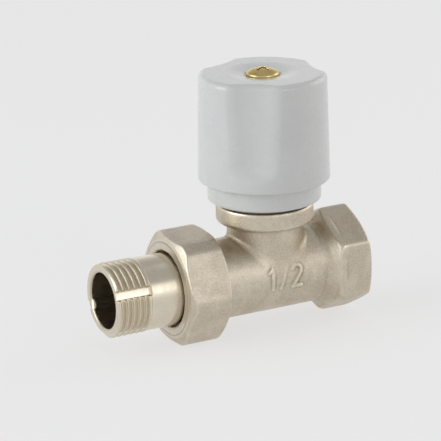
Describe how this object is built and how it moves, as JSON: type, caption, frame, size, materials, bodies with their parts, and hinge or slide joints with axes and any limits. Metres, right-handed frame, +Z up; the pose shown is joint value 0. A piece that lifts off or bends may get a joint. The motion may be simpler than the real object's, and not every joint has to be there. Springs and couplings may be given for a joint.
{
  "type": "straight radiator valve",
  "caption": "Straight radiator valve: female pipe end, union nut with a male threaded tail, and a fluted handwheel whose spindle lifts a rubber disc off its seat.",
  "frame": {"origin": "on the pipe axis where the female thread begins, 1 mm inside the mouth face", "axes": "+X along the pipe and out of the female mouth, +Z up the spindle towards the handwheel"},
  "size_m": [0.0787, 0.0372, 0.0749],
  "materials": {
    "forged_brass": "blasted, thin nickel plate",
    "forged_nut_brass": "blasted, thin nickel plate",
    "turned_brass": "turned, thin nickel plate",
    "plain_brass": "turned",
    "screw_brass": "yellow passivated",
    "spring_steel": "satin",
    "white_plastic": "gloss",
    "white_seal": "waxy",
    "fibre_gasket": "matte",
    "black_rubber": "matte"
  },
  "bodies": {
    "valve": {"valve_body": "forged_brass", "bonnet": "plain_brass", "bonnet_gasket": "white_seal", "packing_washer": "plain_brass", "packing_ring_lower": "white_seal", "packing_ring_upper": "white_seal", "packing_follower": "plain_brass", "gland_nut": "plain_brass", "gland_o_ring": "black_rubber"},
    "tail": {"tailpiece": "turned_brass", "union_gasket": "fibre_gasket"},
    "nut": {"union_nut": "forged_nut_brass"},
    "disc": {"disc_holder": "plain_brass", "valve_disc": "black_rubber", "disc_washer": "plain_brass", "disc_screw": "screw_brass", "jumper_clip": "spring_steel"},
    "stem": {"spindle": "plain_brass", "handwheel": "white_plastic", "handle_screw": "screw_brass"}
  },
  "joints": [
    {"name": "tail_draw", "type": "slide", "parent": "valve", "child": "tail", "axis": [-1, 0, 0], "range_m": [0, 0.0059]},
    {"name": "nut_turn", "type": "hinge", "parent": "tail", "child": "nut", "pos_m": [-0.05165, 0, 0], "axis": [-1, 0, 0], "range_deg": [0, 1170]},
    {"name": "disc_lift", "type": "slide", "parent": "valve", "child": "disc", "axis": [0, 0, 1], "range_m": [0, 0.0045]},
    {"name": "handwheel_turn", "type": "hinge", "parent": "disc", "child": "stem", "pos_m": [-0.0264, 0, 0.02], "axis": [0, 0, 1], "range_deg": [0, 1080]}
  ],
  "couplings": [
    {"joint": "tail_draw", "follows": "nut_turn", "m_per_rad": 0.00028871},
    {"joint": "disc_lift", "follows": "handwheel_turn", "m_per_rad": 0.0002387}
  ]
}
